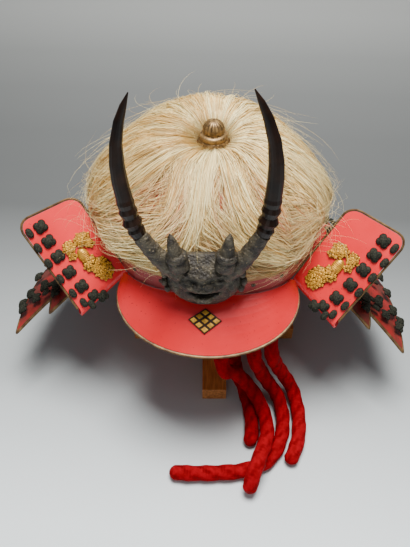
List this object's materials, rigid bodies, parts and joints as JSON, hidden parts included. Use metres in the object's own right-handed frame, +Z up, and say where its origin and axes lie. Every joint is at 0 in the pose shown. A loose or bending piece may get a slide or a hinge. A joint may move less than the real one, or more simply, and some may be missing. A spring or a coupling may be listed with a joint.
{
  "type": "samurai helmet on wooden stand",
  "caption": "Samurai helmet with blond hair over a red bowl, horned bronze mask, laced neck guard and side flaps, loose red cords, on a cross-footed wooden stand.",
  "frame": {"origin": "the point of the stand's underside that lies below the middle of the bowl, at floor level", "axes": "+Z up, -Y towards the peak at the front, +X to the right of someone who looks at the front"},
  "size_m": [0.462, 0.4421, 0.4135],
  "materials": {
    "lacquer_shell": "dark red lacquer, satin",
    "lacquer_peak": "red lacquer, satin, worn",
    "peak_rim": "dark gilt edge",
    "crest_plate": "gilt bronze, worn",
    "lacquer_lame": "red lacquer, satin",
    "flap_edging": "dark gilt edge",
    "gilt_lion": "gilt casting, aged",
    "cast_bronze": "dark cast bronze, rough",
    "dark_horn": "smooth dark brown patina",
    "finial_gilt": "aged gilt brass",
    "blond_hair": "long animal hair, silky",
    "red_cord": "thick soft rope, matt",
    "stand_wood": "oiled brown wood"
  },
  "bodies": {
    "root": {"bowl": "lacquer_shell", "waist_band": "lacquer_shell", "peak": "lacquer_peak", "peak_rim": "peak_rim", "crest_plate": "crest_plate", "neck_lame_1": "lacquer_lame", "neck_lame_2": "lacquer_lame", "neck_lame_3": "lacquer_lame", "flap_edging_left": "flap_edging", "flap_edging_right": "flap_edging", "flap_lion_left": "gilt_lion", "flap_lion_right": "gilt_lion", "mask": "cast_bronze", "horn_left": "dark_horn", "horn_right": "dark_horn", "finial_base": "finial_gilt", "finial_ring": "finial_gilt", "finial_dome": "finial_gilt", "hair": "blond_hair", "cord_left_end": "red_cord", "cord_front_end": "red_cord", "cord_short_end": "red_cord", "cord_outer_end": "red_cord", "stand_bar_long": "stand_wood", "stand_bar_cross": "stand_wood", "stand_post": "stand_wood", "stand_head": "stand_wood"}
  },
  "joints": []
}
